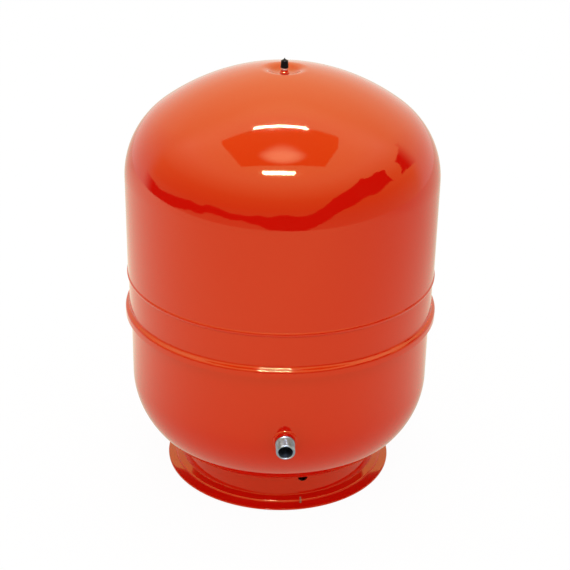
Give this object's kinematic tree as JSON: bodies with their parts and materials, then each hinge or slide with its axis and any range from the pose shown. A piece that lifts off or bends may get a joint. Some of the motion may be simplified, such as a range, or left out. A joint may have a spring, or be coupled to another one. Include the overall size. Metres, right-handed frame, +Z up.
{
  "type": "expansion tank",
  "caption": "Floor-standing membrane expansion tank: drawn steel shells on a foot ring, with a side water nipple and a capped gas valve on top.",
  "frame": {"origin": "on the tank's axis, in the floor plane under the foot ring", "axes": "+Z up along the tank's axis; the water nipple points along -Y"},
  "size_m": [0.4596, 0.4768, 0.6294],
  "materials": {
    "red_enamel": "glossy powder-coat enamel",
    "zinc_plate": "zinc plated, slightly dull",
    "nickel_plate": "nickel plated",
    "bare_brass": "turned",
    "butyl_rubber": "matte moulded rubber",
    "fibre_washer": "pressed fibre",
    "white_seal": "moulded fluoropolymer",
    "spring_steel": "drawn wire",
    "black_polyamide": "moulded, semi-matte"
  },
  "bodies": {
    "tank": {"upper_shell": "red_enamel", "lower_shell": "red_enamel", "seam_weld": "red_enamel", "diaphragm": "butyl_rubber", "clamp_ring": "zinc_plate", "foot_ring": "red_enamel", "foot_weld": "red_enamel", "water_nipple": "zinc_plate", "nipple_weld": "red_enamel", "valve_boss": "red_enamel", "stem_gasket": "fibre_washer", "valve_stem": "nickel_plate", "core_plug": "bare_brass", "core_barrel": "bare_brass", "core_gasket": "white_seal"},
    "core_rod": {"core_pin": "bare_brass", "core_cup": "bare_brass", "core_seal": "butyl_rubber", "core_spring": "spring_steel"},
    "cap_lift": {"cap_gasket": "butyl_rubber"},
    "cap": {"valve_cap": "black_polyamide"}
  },
  "joints": [
    {"name": "valve_pin", "type": "slide", "parent": "tank", "child": "core_rod", "axis": [0, 0, -1], "range_m": [0, 0.0012], "stiffness_N_per_m": 900, "springref_m": -0.0015, "deforming": ["core_spring"]},
    {"name": "cap_rise", "type": "slide", "parent": "tank", "child": "cap_lift", "axis": [0, 0, 1], "range_m": [0, 0.009]},
    {"name": "cap_turn", "type": "hinge", "parent": "cap_lift", "child": "cap", "pos_m": [0, 0, 0.62], "axis": [0, 0, 1], "range_deg": [0, 4081]}
  ],
  "couplings": [
    {"joint": "cap_turn", "follows": "cap_rise", "rad_per_m": 7913.3}
  ]
}
